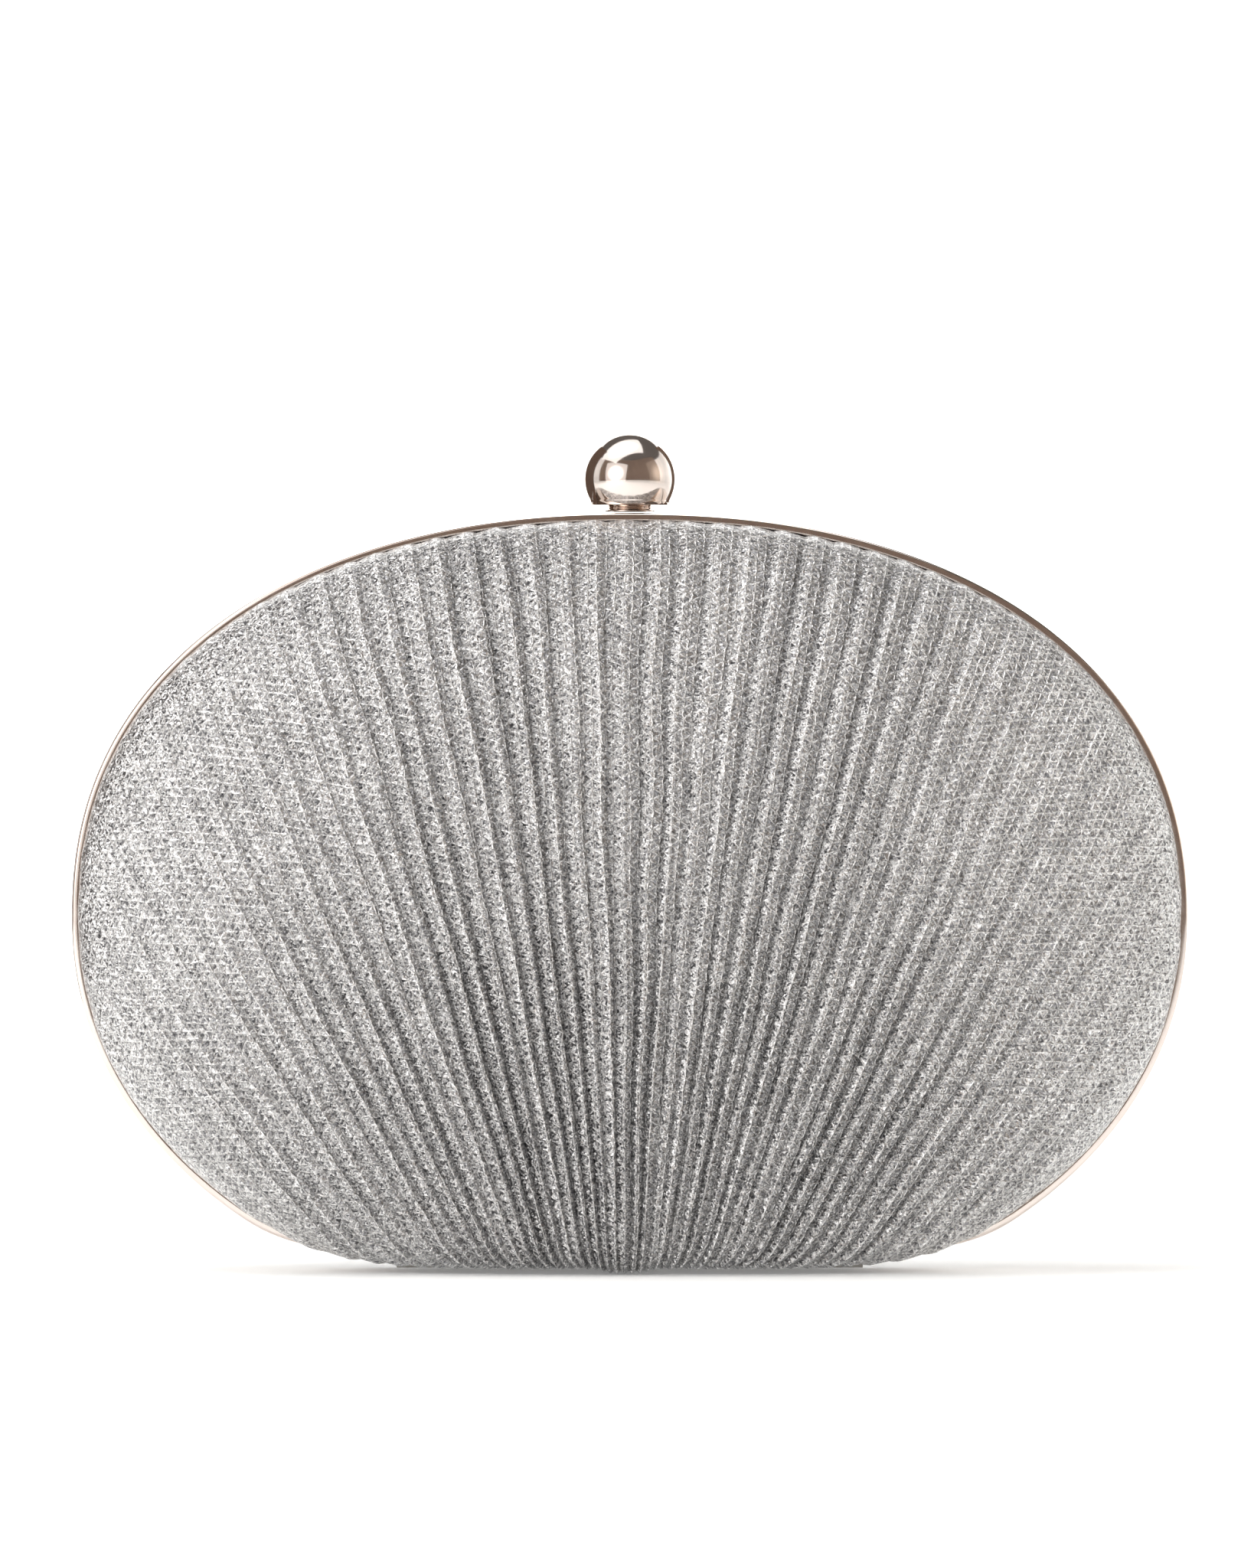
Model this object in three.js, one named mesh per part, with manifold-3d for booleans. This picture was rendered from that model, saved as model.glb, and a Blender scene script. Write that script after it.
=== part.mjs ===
// Oval evening bag: a hard box in two domed halves, hinged at its base and closed by a ball clasp on top.
// Millimetres. X runs across the bag, the front half is towards -Y, and the bag stands on z = 0.

import * as THREE from "three";
import { mergeVertices } from "three/addons/utils/BufferGeometryUtils.js";
import Module from "manifold-3d";

// Rim outline: an upper and a lower superellipse that meet at the widest height.
const HALF_WIDTH = 105;
const WIDEST_Z = 67;
const RISE = 75.8;
const DROP = 76.4;
const UPPER_POWER = 2.22;
const LOWER_POWER = 2.107;
const BASE_BLEND = 6; // height over which the outline rounds into its flat base

// Domed halves. An inset is a distance in from the rim outline.
const HALF_DEPTH = 26;
const DOME_POWER = 2.5;
const EDGE_Y = 5.7; // where the covers end against the frame's lip
const GAP = 0.3;

// Layers of each half, from the outside in: the inset and base height of each face.
const COVER = { outer: { inset: 1.2, floor: 0 }, inner: { inset: 2.2, floor: 1.0 } };
const PADDING = { outer: { inset: 2.5, floor: 1.3 }, inner: { inset: 3.5, floor: 5.4 } };
const SHELL = { outer: { inset: 3.8, floor: 5.7 }, inner: { inset: 5.4, floor: 7.3 } };
const LINING = { outer: { inset: 5.7, floor: 7.6 }, inner: { inset: 6.3, floor: 8.2 } };
const LINING_EDGE_Y = 0.5;

// Shell flange, held in the frame's channel.
const SHELL_FLANGE = { inset: 1.2, floor: 5.0, near: 1.4, far: 4.2 };

// Frame section: a channel with a front lip and a mating flange.
const FRAME_FLOOR = 3.8;
const FRAME_WALL = 0.9;
const FRAME_LIP = 1.6;
const FRAME_FLANGE = 2.8;
const FRAME_Y = { mating: 0.2, flange: 1.1, channel: 4.5, lip: 5.4 };

// Hinge under the frame.
const HINGE_Z = 2;
const HINGE_HALF_LENGTH = 44;
const KNUCKLES = 5;
const KNUCKLE_RADIUS = 1.5;
const KNUCKLE_BORE = 0.95;
const HINGE_PIN_RADIUS = 0.75;
const HINGE_PIN_OVERHANG = 0.6;
const LEAF_Z = [2.8, 3.5];
const LEAF_Y = [1.95, 5.2];
const HINGE_RIVET_X = [-32, 0, 32];
const HINGE_RIVET_Y = 3.3;

// Rivets: a plain shank with a flat round head.
const RIVET_SHANK = 0.6;
const RIVET_HOLE = 0.9;
const RIVET_HEAD = { radius: 1.05, height: 0.6 };
const RIVET_LENGTH = 2.8;
const HOLE_SPAN = { base: [3, 5], rim: [141, 144], web: [140, 142] }; // heights that run right through one wall

// Latch lever, which tilts on a pin in the rear half and hooks a catch plate in the front half.
const PIVOT = { y: 2.6, z: 136 };
const PIVOT_PIN = { radius: 0.6, halfLength: 5.4 };
const PIVOT_BORE = 0.8;
const PIVOT_BOSS = 1.3;
const LEVER = { halfWidth: 2.8, front: 1.9, back: 3.3, top: 143.1 };
const ARM = { bottom: 133.4, top: 134.8, tip: -4.6, noseBack: -3.4, noseBottom: 131.9, chamfer: 0.7 };
const LEVER_SLOT = { halfWidth: 3.2, y: [1.5, 4.8], z: [139, 144] };

// Brackets under the frame bands, and the clearance cut for them in the shells and linings.
const WEB = { halfWidth: 9.4, y: [1.4, 4.2], z: [140.3, 141.2] };
const CHEEK = { x: [3.6, 4.8], y: [1.4, 4.7], z: [132.5, 140.8] };
const BRIDGE = { y: [4.1, 4.7], z: [132.5, 135] };
const BRACKET_RIVET = { x: 7, y: 2.8 };
const CATCH = { halfWidth: 6, y: [-3.1, -2.3], z: [130.9, 140.8] };
const CATCH_WINDOW = { halfWidth: 3.2, z: [132.75, 136.6] };
const CATCH_RIVET = { x: 7.8, y: -2.8 };
const NOTCH = { halfWidth: 11, bottom: 130, top: 146, front: [-4.5, 1], rear: [-1, 5] };
const SPRING = { halfWidth: 2.2, thickness: 0.3, foot: [4.5, 135.3], bend: [4.2, 138.2], tip: [3.9, 140.2] };

// Ball clasp.
const BALL = { radius: 8.75, centreZ: 149.4, cutZ: 144.4 };
const NECK = { radius: 4.3, z: [143.4, 144.1] };

// Slip pocket, a flat panel across the rear lining.
const POCKET = { y: [10.5, 11.3], topZ: 80, margin: 1.3 };

// Facets.
const AROUND = 48;
const DOME_STEPS = 5;
const ROUND = 16;
const BALL_AROUND = 24;
const TIE_BREAK = 0.001;

const wasm = await Module();
wasm.setup();

const bag = new THREE.Group();

function add(name, geometry, material) {
  const mesh = new THREE.Mesh(geometry, material);
  mesh.name = name;
  bag.add(mesh);
  return mesh;
}

// Solids

function outward(geometry) {
  // Turns the faces over if the closed surface is inside out.
  const { array } = geometry.attributes.position;
  const index = geometry.index.array;
  const corner = (k) => new THREE.Vector3().fromArray(array, 3 * index[k]);
  let volume = 0;
  for (let k = 0; k < index.length; k += 3) {
    volume += corner(k).dot(corner(k + 1).cross(corner(k + 2)));
  }
  if (volume < 0) {
    index.reverse();
  }
  return geometry;
}

function facets(points, faces) {
  const geometry = new THREE.BufferGeometry();
  geometry.setAttribute("position", new THREE.Float32BufferAttribute(points.flat(), 3));
  geometry.setIndex(faces);
  outward(geometry);
  geometry.computeVertexNormals();
  return geometry;
}

function toSolid(geometry) {
  const bare = geometry.clone();
  bare.deleteAttribute("normal");
  bare.deleteAttribute("uv");
  const merged = mergeVertices(bare);
  const index = merged.index.array;
  const faces = [];
  for (let k = 0; k < index.length; k += 3) {
    const [a, b, c] = index.subarray(k, k + 3);
    if (a !== b && b !== c && c !== a) {
      faces.push(a, b, c);
    }
  }
  const vertProperties = new Float32Array(merged.attributes.position.array);
  const triVerts = new Uint32Array(faces);
  return new wasm.Manifold(new wasm.Mesh({ numProp: 3, vertProperties, triVerts }));
}

function toGeometry(solid) {
  const { vertProperties, triVerts } = solid.getMesh();
  const geometry = new THREE.BufferGeometry();
  geometry.setAttribute("position", new THREE.BufferAttribute(vertProperties, 3));
  geometry.setIndex(new THREE.BufferAttribute(triVerts, 1));
  geometry.computeVertexNormals();
  return geometry;
}

function join(...geometries) {
  return toGeometry(geometries.map(toSolid).reduce((whole, solid) => whole.add(solid)));
}

function cut(geometry, ...tools) {
  return toGeometry(tools.map(toSolid).reduce((rest, tool) => rest.subtract(tool), toSolid(geometry)));
}

function common(first, second) {
  return toGeometry(toSolid(first).intersect(toSolid(second)));
}

function block([x0, x1], [y0, y1], [z0, z1]) {
  const box = new THREE.BoxGeometry(x1 - x0, y1 - y0, z1 - z0);
  return box.translate((x0 + x1) / 2, (y0 + y1) / 2, (z0 + z1) / 2);
}

function rodAlongX(radius, [x0, x1], y, z) {
  const rod = new THREE.CylinderGeometry(radius, radius, x1 - x0, ROUND).rotateZ(Math.PI / 2);
  return rod.translate((x0 + x1) / 2, y, z);
}

function rodAlongZ(radius, [z0, z1], x, y) {
  const rod = new THREE.CylinderGeometry(radius, radius, z1 - z0, ROUND).rotateX(Math.PI / 2);
  return rod.translate(x, y, (z0 + z1) / 2);
}

function plateAcross(corners, halfWidth) {
  // A side profile of [y, z] corners, carried across the bag from -halfWidth to halfWidth.
  const shape = new THREE.Shape(corners.map(([y, z]) => new THREE.Vector2(y, z)));
  const plate = new THREE.ExtrudeGeometry(shape, { depth: 2 * halfWidth, bevelEnabled: false });
  const turn = new THREE.Matrix4().makeBasis(
    new THREE.Vector3(0, 1, 0),
    new THREE.Vector3(0, 0, 1),
    new THREE.Vector3(1, 0, 0),
  );
  return plate.applyMatrix4(turn).translate(-halfWidth, 0, 0);
}

// Outline and dome surfaces

function flatten(z, floor) {
  // Equal to z well above the floor and to the floor well below it, with a smooth blend between.
  const near = Math.max(BASE_BLEND - Math.abs(z - floor), 0) / BASE_BLEND;
  return Math.max(z, floor) + (near * near * BASE_BLEND) / 4;
}

function ring({ inset, floor }, y, scale = 1) {
  // One turn of the rim outline, set in, shrunk about its centre by scale, and flattened at its base.
  return Array.from({ length: AROUND }, (_, i) => {
    const turn = (2 * Math.PI * i) / AROUND;
    const cos = Math.cos(turn);
    const sin = Math.sin(turn);
    const height = sin > 0 ? RISE : DROP;
    const power = 2 / (sin > 0 ? UPPER_POWER : LOWER_POWER);
    const x = scale * (HALF_WIDTH - inset) * Math.sign(cos) * Math.abs(cos) ** power;
    const z = WIDEST_Z + scale * (height - inset) * Math.sign(sin) * Math.abs(sin) ** power;
    return [x, y, flatten(z, floor)];
  });
}

function domeDepth({ inset }) {
  return HALF_DEPTH - EDGE_Y - (inset - COVER.outer.inset);
}

function domeRings(face, side) {
  // From the middle of the dome out to its edge: a superellipse in depth against the outline's scale.
  const depth = domeDepth(face);
  const rings = [[[0, side * (EDGE_Y + depth), WIDEST_Z]]];
  for (let step = 1; step <= DOME_STEPS; step++) {
    const turn = (step / DOME_STEPS) * (Math.PI / 2);
    const scale = Math.sin(turn) ** (2 / DOME_POWER);
    const rise = step < DOME_STEPS ? Math.cos(turn) ** (2 / DOME_POWER) : 0;
    rings.push(ring(face, side * (EDGE_Y + depth * rise), scale));
  }
  return rings;
}

function quadFaces(points, [a, b, c, d]) {
  // Splits at the lowest and outermost corner, so that nested layers are split alike and never cross.
  if (a === b || c === d) {
    return a === b ? [b, c, d] : [a, b, c];
  }
  const rank = ([x, y, z]) => z + TIE_BREAK * (Math.abs(y) - Math.abs(x));
  const ranks = [a, b, c, d].map((k) => rank(points[k]));
  const lowest = ranks.indexOf(Math.min(...ranks));
  return lowest % 2 === 0 ? [a, b, c, a, c, d] : [a, b, d, b, c, d];
}

function ringSolid(rings, looped = false) {
  // Skins a row of rings. A ring of one point is a pole, and a looped row closes on its first ring.
  const points = rings.flat();
  const starts = [];
  let total = 0;
  for (const loop of rings) {
    starts.push(total);
    total += loop.length;
  }
  const faces = [];
  const bands = looped ? rings.length : rings.length - 1;
  for (let band = 0; band < bands; band++) {
    const next = (band + 1) % rings.length;
    const at = (k, i) => starts[k] + (i % rings[k].length);
    for (let i = 0; i < AROUND; i++) {
      faces.push(...quadFaces(points, [at(band, i), at(band, i + 1), at(next, i + 1), at(next, i)]));
    }
  }
  return facets(points, faces);
}

function dish({ outer, inner }, side, edgeRings = []) {
  return ringSolid([...domeRings(outer, side), ...edgeRings, ...domeRings(inner, side).reverse()]);
}

// Materials

function material(color, roughness, metalness) {
  return new THREE.MeshStandardMaterial({ color, roughness, metalness });
}

const silverNet = () => material(0xa3a4a6, 0.45, 0.6);
const paleNickel = () => material(0xcfc6b4, 0.12, 1);
const steel = () => material(0xb4b4b0, 0.3, 1);
const foam = () => material(0xe6e2d8, 0.95, 0);
const shellPlastic = () => material(0x2c2c2e, 0.6, 0);
const satin = () => material(0xb9b7b5, 0.6, 0);

// Halves: side is -1 for the front and 1 for the rear

function frameGeometry(side) {
  const section = [
    [0, FRAME_Y.mating],
    [0, FRAME_Y.lip],
    [FRAME_LIP, FRAME_Y.lip],
    [FRAME_LIP, FRAME_Y.channel],
    [FRAME_WALL, FRAME_Y.channel],
    [FRAME_WALL, FRAME_Y.flange],
    [FRAME_FLANGE, FRAME_Y.flange],
    [FRAME_FLANGE, FRAME_Y.mating],
  ];
  const rings = section.map(([inset, y]) => ring({ inset, floor: FRAME_FLOOR + inset }, side * y));
  const hinge = hingeRivetPlaces(side).map(([x, y]) => rodAlongZ(RIVET_HOLE, HOLE_SPAN.base, x, y));
  return cut(ringSolid(rings, true), ...hinge, ...topRivetHoles(side, HOLE_SPAN.rim));
}

function shellGeometry(side) {
  const { inset, floor, near, far } = SHELL_FLANGE;
  const edge = [
    ring(SHELL.outer, side * far),
    ring({ inset, floor }, side * far),
    ring({ inset, floor }, side * near),
    ring(SHELL.inner, side * near),
  ];
  return cut(dish(SHELL, side, edge), notch(side));
}

function liningGeometry(side) {
  const edge = [ring(LINING.outer, side * LINING_EDGE_Y), ring(LINING.inner, side * LINING_EDGE_Y)];
  return cut(dish(LINING, side, edge), notch(side));
}

function notch(side) {
  const y = side < 0 ? NOTCH.front : NOTCH.rear;
  return block([-NOTCH.halfWidth, NOTCH.halfWidth], y, [NOTCH.bottom, NOTCH.top]);
}

function addHalf(half, side) {
  add(`${half}_cover`, dish(COVER, side), silverNet());
  add(`${half}_padding`, dish(PADDING, side), foam());
  add(`${half}_shell`, shellGeometry(side), shellPlastic());
  add(`${half}_lining`, liningGeometry(side), satin());
}

function addFrames() {
  const slot = block([-LEVER_SLOT.halfWidth, LEVER_SLOT.halfWidth], LEVER_SLOT.y, LEVER_SLOT.z);
  add("front_frame", frameGeometry(-1), paleNickel());
  add("rear_frame", cut(frameGeometry(1), slot), paleNickel());
}

function addPocket() {
  const [near, far] = POCKET.y;
  const reach = (far - EDGE_Y) / domeDepth(LINING.inner);
  const scale = (1 - reach ** DOME_POWER) ** (1 / DOME_POWER);
  const inset = LINING.inner.inset + POCKET.margin;
  const outline = ring({ inset, floor: LINING.inner.floor + GAP }, 0, scale);
  const shape = new THREE.Shape(outline.map(([x, , z]) => new THREE.Vector2(x, z)));
  const panel = new THREE.ExtrudeGeometry(shape, { depth: far - near, bevelEnabled: false });
  panel.rotateX(Math.PI / 2).translate(0, far, 0);
  const below = block([-HALF_WIDTH, HALF_WIDTH], [0, HALF_DEPTH], [0, POCKET.topZ]);
  add("slip_pocket", common(panel, below), satin());
}

// Hinge

function hingeRivetPlaces(side) {
  return HINGE_RIVET_X.map((x) => [x, side * HINGE_RIVET_Y]);
}

function knuckleSpans() {
  const length = (2 * HINGE_HALF_LENGTH - (KNUCKLES - 1) * GAP) / KNUCKLES;
  return Array.from({ length: KNUCKLES }, (_, i) => {
    const start = -HINGE_HALF_LENGTH + i * (length + GAP);
    return [start, start + length];
  });
}

function leafGeometry(side) {
  // The rear leaf holds the odd knuckles and the front leaf the even ones.
  const own = knuckleSpans().filter((_, i) => (i % 2 === 0) === side > 0);
  const across = (from, to) => (side > 0 ? [from, to] : [-to, -from]);
  const plate = block([-HINGE_HALF_LENGTH, HINGE_HALF_LENGTH], across(...LEAF_Y), LEAF_Z);
  const tabs = own.map((span) => block(span, across(0, LEAF_Y[0] + GAP), LEAF_Z));
  const barrels = own.map((span) => rodAlongX(KNUCKLE_RADIUS, span, 0, HINGE_Z));
  const bore = rodAlongX(KNUCKLE_BORE, [-HALF_WIDTH, HALF_WIDTH], 0, HINGE_Z);
  const holes = hingeRivetPlaces(side).map(([x, y]) => rodAlongZ(RIVET_HOLE, [2, 4], x, y));
  return cut(join(plate, ...tabs, ...barrels), bore, ...holes);
}

function addHinge() {
  const end = HINGE_HALF_LENGTH + HINGE_PIN_OVERHANG;
  add("rear_hinge_leaf", leafGeometry(1), steel());
  add("front_hinge_leaf", leafGeometry(-1), steel());
  add("hinge_pin", rodAlongX(HINGE_PIN_RADIUS, [-end, end], 0, HINGE_Z), steel());
}

// Rivets

function addRivet(name, x, y, headZ) {
  // Stands head down: the shank rises from the head's upper face.
  const { radius, height } = RIVET_HEAD;
  const profile = [
    [0, 0],
    [radius, 0],
    [radius, height],
    [RIVET_SHANK, height],
    [RIVET_SHANK, RIVET_LENGTH],
    [0, RIVET_LENGTH],
  ];
  const points = profile.map(([r, h]) => new THREE.Vector2(r, h));
  const rivet = add(name, new THREE.LatheGeometry(points, ROUND / 2), steel());
  rivet.rotation.x = Math.PI / 2;
  rivet.position.set(x, y, headZ);
}

function addRivets() {
  const underHinge = LEAF_Z[0] - GAP - RIVET_HEAD.height;
  const underWeb = WEB.z[0] - GAP - RIVET_HEAD.height;
  for (const [half, side] of [["front", -1], ["rear", 1]]) {
    hingeRivetPlaces(side).forEach(([x, y], i) => addRivet(`${half}_hinge_rivet_${i + 1}`, x, y, underHinge));
  }
  [-1, 1].forEach((sign, i) => {
    addRivet(`bracket_rivet_${i + 1}`, sign * BRACKET_RIVET.x, BRACKET_RIVET.y, underWeb);
    addRivet(`catch_rivet_${i + 1}`, sign * CATCH_RIVET.x, CATCH_RIVET.y, underWeb);
  });
}

// Latch

function topRivetHoles(side, z) {
  const { x, y } = side < 0 ? CATCH_RIVET : BRACKET_RIVET;
  return [-x, x].map((place) => rodAlongZ(RIVET_HOLE, z, place, y));
}

function addBracket() {
  const wings = [
    block([-WEB.halfWidth, -CHEEK.x[0]], WEB.y, WEB.z),
    block([CHEEK.x[0], WEB.halfWidth], WEB.y, WEB.z),
  ];
  const cheeks = [
    block([-CHEEK.x[1], -CHEEK.x[0]], CHEEK.y, CHEEK.z),
    block(CHEEK.x, CHEEK.y, CHEEK.z),
  ];
  const bridge = block([-CHEEK.x[1], CHEEK.x[1]], BRIDGE.y, BRIDGE.z);
  const bore = rodAlongX(PIVOT_BORE, [-HALF_WIDTH, HALF_WIDTH], PIVOT.y, PIVOT.z);
  const { radius, halfLength } = PIVOT_PIN;
  const holes = topRivetHoles(1, HOLE_SPAN.web);
  add("latch_bracket", cut(join(...wings, ...cheeks, bridge), bore, ...holes), steel());
  add("latch_pivot_pin", rodAlongX(radius, [-halfLength, halfLength], PIVOT.y, PIVOT.z), steel());
}

function addSpring() {
  // A leaf that stands on the bridge and bears on the back of the lever.
  const { halfWidth, thickness, foot, bend, tip } = SPRING;
  const back = [foot, bend, tip].map(([y, z], i) => (i === 0 ? [y, z + GAP] : [y, z]));
  const front = back.map(([y, z]) => [y - thickness, z]).reverse();
  add("latch_spring", plateAcross([...back, ...front], halfWidth), steel());
}

function addLever() {
  const { bottom, top, tip, noseBack, noseBottom, chamfer } = ARM;
  const profile = [
    [LEVER.back, bottom],
    [LEVER.back, LEVER.top],
    [LEVER.front, LEVER.top],
    [LEVER.front, top],
    [tip, top],
    [tip, noseBottom + chamfer],
    [tip + chamfer, noseBottom],
    [noseBack, noseBottom],
    [noseBack, bottom],
  ];
  const boss = rodAlongX(PIVOT_BOSS, [-LEVER.halfWidth, LEVER.halfWidth], PIVOT.y, PIVOT.z);
  const bore = rodAlongX(PIVOT_BORE, [-HALF_WIDTH, HALF_WIDTH], PIVOT.y, PIVOT.z);
  add("latch_lever", cut(join(plateAcross(profile, LEVER.halfWidth), boss), bore), steel());
}

function addCatch() {
  const web = block([-WEB.halfWidth, WEB.halfWidth], [-WEB.y[1], -WEB.y[0]], WEB.z);
  const plate = block([-CATCH.halfWidth, CATCH.halfWidth], CATCH.y, CATCH.z);
  const { halfWidth, z } = CATCH_WINDOW;
  const window = block([-halfWidth, halfWidth], [-HALF_DEPTH, 0], z);
  add("catch_plate", cut(join(web, plate), window, ...topRivetHoles(-1, HOLE_SPAN.web)), steel());
}

function addBall() {
  const { radius, centreZ, cutZ } = BALL;
  const lowest = Math.asin((cutZ - centreZ) / radius);
  const steps = BALL_AROUND / 2;
  const profile = [new THREE.Vector2(0, cutZ - centreZ)];
  for (let i = 0; i <= steps; i++) {
    const turn = lowest + (i / steps) * (Math.PI / 2 - lowest);
    profile.push(new THREE.Vector2(i < steps ? radius * Math.cos(turn) : 0, radius * Math.sin(turn)));
  }
  const ball = add("clasp_ball", new THREE.LatheGeometry(profile, BALL_AROUND), paleNickel());
  ball.rotation.x = Math.PI / 2;
  ball.position.set(0, PIVOT.y, centreZ);
  add("clasp_neck", rodAlongZ(NECK.radius, NECK.z, 0, PIVOT.y), paleNickel());
}

addFrames();
addHalf("front", -1);
addHalf("rear", 1);
addPocket();
addHinge();
addBracket();
addSpring();
addLever();
addCatch();
addBall();
addRivets();

export default bag;
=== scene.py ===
import math

import bmesh
import bpy
import numpy as np
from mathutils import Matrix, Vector


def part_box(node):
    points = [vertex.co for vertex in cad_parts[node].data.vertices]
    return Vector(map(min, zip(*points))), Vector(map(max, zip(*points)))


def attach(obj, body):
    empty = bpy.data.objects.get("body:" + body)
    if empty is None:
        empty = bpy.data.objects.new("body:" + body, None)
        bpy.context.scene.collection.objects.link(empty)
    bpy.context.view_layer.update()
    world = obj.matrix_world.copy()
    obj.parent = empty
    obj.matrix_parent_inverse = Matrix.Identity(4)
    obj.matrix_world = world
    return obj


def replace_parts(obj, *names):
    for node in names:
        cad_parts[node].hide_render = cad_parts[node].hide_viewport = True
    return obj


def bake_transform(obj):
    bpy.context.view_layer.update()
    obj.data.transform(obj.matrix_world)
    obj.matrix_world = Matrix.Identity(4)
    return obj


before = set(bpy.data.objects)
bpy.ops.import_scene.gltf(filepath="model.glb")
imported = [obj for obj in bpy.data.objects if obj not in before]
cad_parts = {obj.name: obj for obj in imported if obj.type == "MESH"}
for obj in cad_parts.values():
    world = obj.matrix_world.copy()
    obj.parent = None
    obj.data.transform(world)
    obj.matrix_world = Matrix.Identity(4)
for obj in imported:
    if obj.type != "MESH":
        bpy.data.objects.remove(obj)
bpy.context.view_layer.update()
MM = 0.001

# Shells: two domed trays of dark moulded plastic, 1.6 mm thick, with a flange that the frame's channel grips.
# They give the bag its shape and carry the wadding outside and the lining inside.


def linear(code):
    """An sRGB hex colour as linear RGBA."""
    srgb = np.array([int(code[k : k + 2], 16) for k in (1, 3, 5)]) / 255
    low, high = srgb / 12.92, ((srgb + 0.055) / 1.055) ** 2.4
    return (*np.where(srgb <= 0.04045, low, high).tolist(), 1.0)


def node(material, kind, inputs=None, **settings):
    """Adds a node: settings are its properties, and inputs gives a socket its value, the output that feeds
    it, or the node whose first output feeds it."""
    made = material.node_tree.nodes.new(kind)
    for name, value in settings.items():
        setattr(made, name, value)
    for name, value in (inputs or {}).items():
        if isinstance(value, bpy.types.Node):
            value = value.outputs[0]
        if isinstance(value, bpy.types.NodeSocket):
            material.node_tree.links.new(value, made.inputs[name])
        else:
            made.inputs[name].default_value = value
    return made


def start_material(name, **values):
    """A new material and its shader, with the shader's own sockets set; underscores stand for spaces."""
    material = bpy.data.materials.new(name)
    material.use_nodes = True
    shader = material.node_tree.nodes["Principled BSDF"]
    for key, value in values.items():
        shader.inputs[key.replace("_", " ")].default_value = value
    return material, shader


def feed(material, shader, **outputs):
    """Links node outputs to the shader's sockets; underscores stand for spaces."""
    for key, output in outputs.items():
        material.node_tree.links.new(output, shader.inputs[key.replace("_", " ")])


def moulded_plastic():
    """ABS, injection moulded with a fine spark-eroded texture: dull black, grain about 0.4 mm."""
    material, shader = start_material("ABS_moulded_black", Roughness=0.55, IOR=1.53)
    place = node(material, "ShaderNodeTexCoord").outputs["Object"]
    grain = node(material, "ShaderNodeTexNoise", {"Vector": place, "Scale": 1 / (0.4 * MM), "Detail": 2.0})
    tone = node(material, "ShaderNodeValToRGB", {"Fac": grain.outputs["Fac"]})
    tone.color_ramp.elements[0].color = linear("#1f1f21")
    tone.color_ramp.elements[1].color = linear("#2d2d30")
    bump = node(material, "ShaderNodeBump", {"Height": grain.outputs["Fac"], "Distance": 0.03 * MM})
    feed(material, shader, Base_Color=tone.outputs["Color"], Normal=bump.outputs["Normal"])
    return material


low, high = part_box("front_frame")
HALF_WIDTH = high[0] / MM
RIM_TOP = high[2] / MM
FRAME_FLOOR = low[2] / MM
HALF_DEPTH = -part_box("front_cover")[0][1] / MM
EDGE_Y = -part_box("front_cover")[1][1] / MM
WIDEST_Z = 67.0
RISE = RIM_TOP - WIDEST_Z
DROP = 76.4
UPPER_POWER, LOWER_POWER, DOME_POWER = 2.22, 2.107, 2.5
BASE_BLEND = 6.0
COVER_INSET = HALF_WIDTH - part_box("front_cover")[1][0] / MM


def flatten(z, floor):
    """z well above the floor, the floor well below it, and a parabola between them."""
    near = np.maximum(BASE_BLEND - np.abs(z - floor), 0) / BASE_BLEND
    return np.maximum(z, floor) + near**2 * BASE_BLEND / 4


def rim(turn, inset=0.0, scale=1.0):
    """The rim outline before it is flattened: an upper and a lower superellipse, set in and then shrunk."""
    up = np.sin(turn) > 0
    power = 2 / np.where(up, UPPER_POWER, LOWER_POWER)
    x = scale * (HALF_WIDTH - inset) * np.sign(np.cos(turn)) * np.abs(np.cos(turn)) ** power
    height = np.where(up, RISE, DROP) - inset
    z = WIDEST_Z + scale * height * np.sign(np.sin(turn)) * np.abs(np.sin(turn)) ** power
    return x, z


def skin(name, points, around=False, along=False):
    """Quads between the neighbours of a grid of points in mm; around joins its last column to the first, and
    along its last row to the first."""
    rows, columns = points.shape[:2]
    r = np.arange(rows if along else rows - 1)[:, None]
    c = np.arange(columns if around else columns - 1)[None, :]
    steps = ((0, 0), (0, 1), (1, 1), (1, 0))
    quads = np.stack([(r + i) % rows * columns + (c + j) % columns for i, j in steps], axis=-1).reshape(-1, 4)
    mesh = bpy.data.meshes.new(name)
    mesh.vertices.add(rows * columns)
    mesh.vertices.foreach_set("co", (points * MM).astype(np.float32).ravel())
    mesh.loops.add(quads.size)
    mesh.loops.foreach_set("vertex_index", quads.astype(np.int32).ravel())
    mesh.polygons.add(len(quads))
    mesh.polygons.foreach_set("loop_start", np.arange(0, quads.size, 4, dtype=np.int32))
    mesh.update(calc_edges=True)
    piece = bpy.data.objects.new(name, mesh)
    bpy.context.scene.collection.objects.link(piece)
    return piece


def close_up(piece, smooth=True):
    """Merges the points that meet at poles and seams, and turns every face outwards."""
    work = bmesh.new()
    work.from_mesh(piece.data)
    bmesh.ops.remove_doubles(work, verts=work.verts, dist=1e-7)
    bmesh.ops.recalc_face_normals(work, faces=work.faces)
    work.to_mesh(piece.data)
    work.free()
    piece.data.polygons.foreach_set("use_smooth", np.full(len(piece.data.polygons), smooth))
    return piece


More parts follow.
